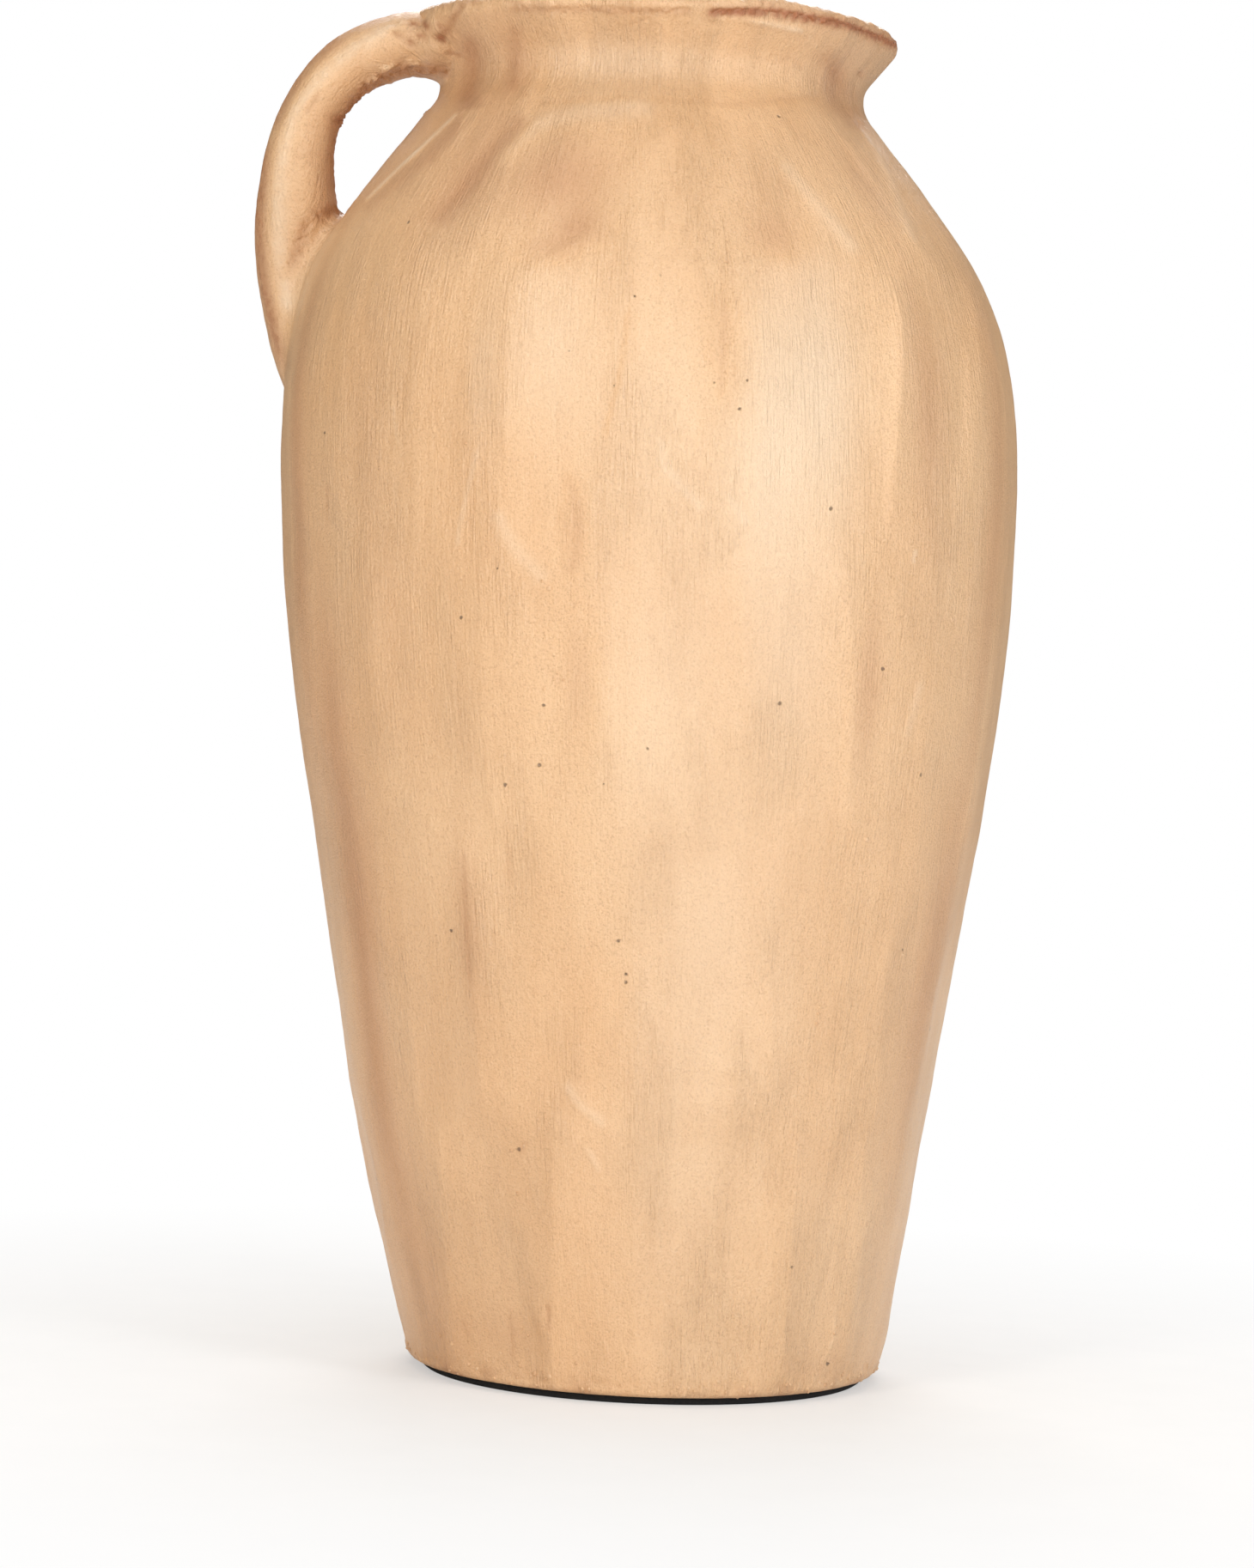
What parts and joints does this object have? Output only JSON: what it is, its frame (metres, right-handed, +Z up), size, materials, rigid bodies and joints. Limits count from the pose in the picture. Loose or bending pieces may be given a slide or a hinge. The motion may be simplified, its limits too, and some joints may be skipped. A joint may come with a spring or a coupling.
{
  "type": "jug",
  "caption": "Tall hand-built clay jug: wide open mouth, short waisted neck, sloping shoulder, high belly tapering to a flat foot, and a looped coil handle from lip to shoulder.",
  "frame": {"origin": "centre of the underside of the pad under the foot, where the jug rests", "axes": "+Z up out of the mouth, the handle on the -X side, the jug's front faces -Y"},
  "size_m": [0.2423, 0.2291, 0.42],
  "materials": {
    "clay": "satin",
    "pad": "matte"
  },
  "bodies": {
    "root": {"foot_pad": "pad", "base_slab": "clay", "foot_course": "clay", "lower_course": "clay", "middle_course": "clay", "belly_course": "clay", "shoulder_course": "clay", "neck_collar": "clay", "rim_lip": "clay", "handle": "clay", "handle_top_wad": "clay", "handle_root_wad": "clay"}
  },
  "joints": []
}
